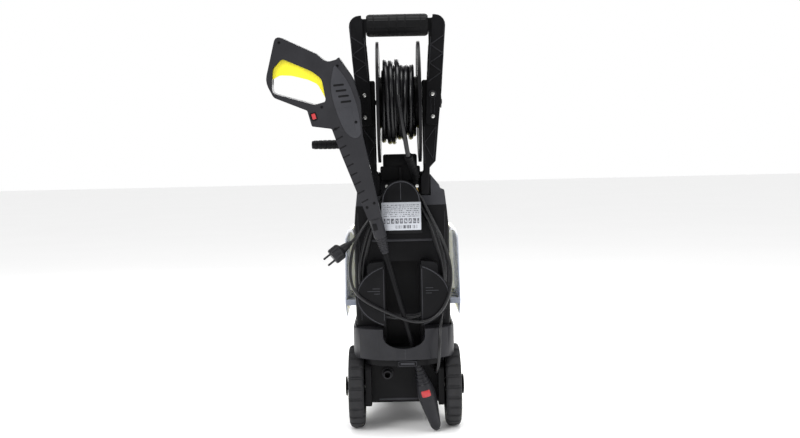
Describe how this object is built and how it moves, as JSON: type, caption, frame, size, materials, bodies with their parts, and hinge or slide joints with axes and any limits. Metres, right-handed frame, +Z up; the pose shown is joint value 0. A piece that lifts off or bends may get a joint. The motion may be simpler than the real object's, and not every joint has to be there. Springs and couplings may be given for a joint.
{
  "type": "pressure washer",
  "caption": "Upright electric pressure washer on wheels with a hose reel between the handle's legs, cable hooks and a stored spray gun.",
  "frame": {"origin": "middle of the rubber front foot's underside, on the floor and on the machine's plane of symmetry", "axes": "+Z up, +Y to the machine's front, away from the handle's user and the stored gun, +X to the right seen from behind"},
  "size_m": [0.4306, 0.5469, 0.972],
  "materials": {
    "black_plastic": "fine moulded grain, satin",
    "shoulder_plastic": "fine moulded grain, satin, a shade lighter than the covers",
    "charcoal_plastic": "satin charcoal",
    "yellow_plastic": "glossy",
    "smoke_plastic": "smoky translucent, satin",
    "rubber": "matt",
    "tyre": "matt with transverse lugs",
    "hose": "satin",
    "cable": "satin",
    "plug_rubber": "matt body with bare metal pins",
    "label_foil": "silver foil",
    "red_plastic": "glossy",
    "zinc_steel": "zinc plated",
    "brass": "turned",
    "cast_aluminium": "as cast",
    "motor_steel": "dull"
  },
  "bodies": {
    "machine": {"base_frame": "black_plastic", "cable_gland": "rubber", "cable_hank": "cable", "cable_lead": "cable", "cable_loop": "cable", "cable_tail": "cable", "cross_brace": "black_plastic", "front_cover": "yellow_plastic", "front_foot": "rubber", "handle_grip": "rubber", "handle_loop": "black_plastic", "handle_screw_lower_left": "zinc_steel", "handle_screw_lower_right": "zinc_steel", "handle_screw_upper_left": "zinc_steel", "handle_screw_upper_right": "zinc_steel", "hose_lead": "hose", "hose_outlet": "brass", "hose_sleeve": "rubber", "hub_cap_left": "black_plastic", "hub_cap_right": "black_plastic", "lance_rest": "black_plastic", "lower_cable_hook_left": "black_plastic", "lower_cable_hook_right": "black_plastic", "mains_plug": "plug_rubber", "motor_housing": "motor_steel", "pump_block": "cast_aluminium", "rating_label": "label_foil", "rear_band": "black_plastic", "rear_cover": "black_plastic", "reel_bush_left": "charcoal_plastic", "reel_bush_right": "charcoal_plastic", "reel_carrier_left": "black_plastic", "reel_carrier_right": "black_plastic", "side_holder_left": "smoke_plastic", "side_holder_right": "smoke_plastic", "top_cover": "shoulder_plastic", "upper_cable_hook": "black_plastic", "water_inlet": "charcoal_plastic", "wheel_axle": "zinc_steel"},
    "reel": {"reel_drum": "black_plastic", "reel_flange_left": "black_plastic", "reel_flange_right": "black_plastic", "hose_winding": "hose", "crank_arm": "black_plastic"},
    "crank_handle": {"crank_grip": "rubber"},
    "wheel_left": {"wheel_tyre_left": "tyre", "wheel_rim_left": "black_plastic"},
    "wheel_right": {"wheel_tyre_right": "tyre", "wheel_rim_right": "black_plastic"},
    "spray_gun": {"gun_shell_rear": "charcoal_plastic", "gun_shell_front": "charcoal_plastic", "gun_valve": "brass", "gun_hose_socket": "brass", "lance_coupling": "charcoal_plastic", "lance_tube": "black_plastic"},
    "nozzle": {"nozzle_head": "charcoal_plastic"},
    "gun_trigger": {"trigger": "yellow_plastic"},
    "release_button": {"hose_release": "red_plastic"},
    "switch_knob": {"power_knob": "charcoal_plastic"},
    "rotor": {"motor_rotor": "motor_steel"}
  },
  "joints": [
    {"name": "reel_spin", "type": "hinge", "parent": "machine", "child": "reel", "pos_m": [0, -0.318, 0.7705], "axis": [1, 0, 0], "continuous": true},
    {"name": "crank_grip_spin", "type": "hinge", "parent": "reel", "child": "crank_handle", "pos_m": [-0.165, -0.318, 0.6755], "axis": [1, 0, 0], "continuous": true},
    {"name": "wheel_left_spin", "type": "hinge", "parent": "machine", "child": "wheel_left", "pos_m": [-0.114, -0.285, 0.097], "axis": [1, 0, 0], "continuous": true},
    {"name": "wheel_right_spin", "type": "hinge", "parent": "machine", "child": "wheel_right", "pos_m": [0.114, -0.285, 0.097], "axis": [1, 0, 0], "continuous": true},
    {"name": "gun_lift", "type": "slide", "parent": "machine", "child": "spray_gun", "axis": [-0.2521, -0.1146, 0.9609], "range_m": [0, 0.025]},
    {"name": "nozzle_twist", "type": "hinge", "parent": "spray_gun", "child": "nozzle", "pos_m": [0.0725, -0.354, 0.005], "axis": [-0.2521, -0.1146, 0.9609], "range_deg": [0, 90]},
    {"name": "trigger_squeeze", "type": "hinge", "parent": "spray_gun", "child": "gun_trigger", "pos_m": [-0.15099, -0.44573, 0.77423], "axis": [0, 0.993, 0.1184], "range_deg": [0, 8], "stiffness_Nm_per_rad": 1.2, "springref_deg": -8.59},
    {"name": "hose_release_push", "type": "slide", "parent": "spray_gun", "child": "release_button", "axis": [0, 0.993, 0.1184], "range_m": [0, 0.0025], "stiffness_N_per_m": 800, "springref_m": -0.001},
    {"name": "power_knob_turn", "type": "hinge", "parent": "machine", "child": "switch_knob", "pos_m": [0, 0.0488, 0.335], "axis": [0, -1, 0], "range_deg": [0, 90]},
    {"name": "rotor_spin", "type": "hinge", "parent": "machine", "child": "rotor", "pos_m": [0, -0.15, 0.4], "axis": [0, 0, 1], "continuous": true}
  ]
}
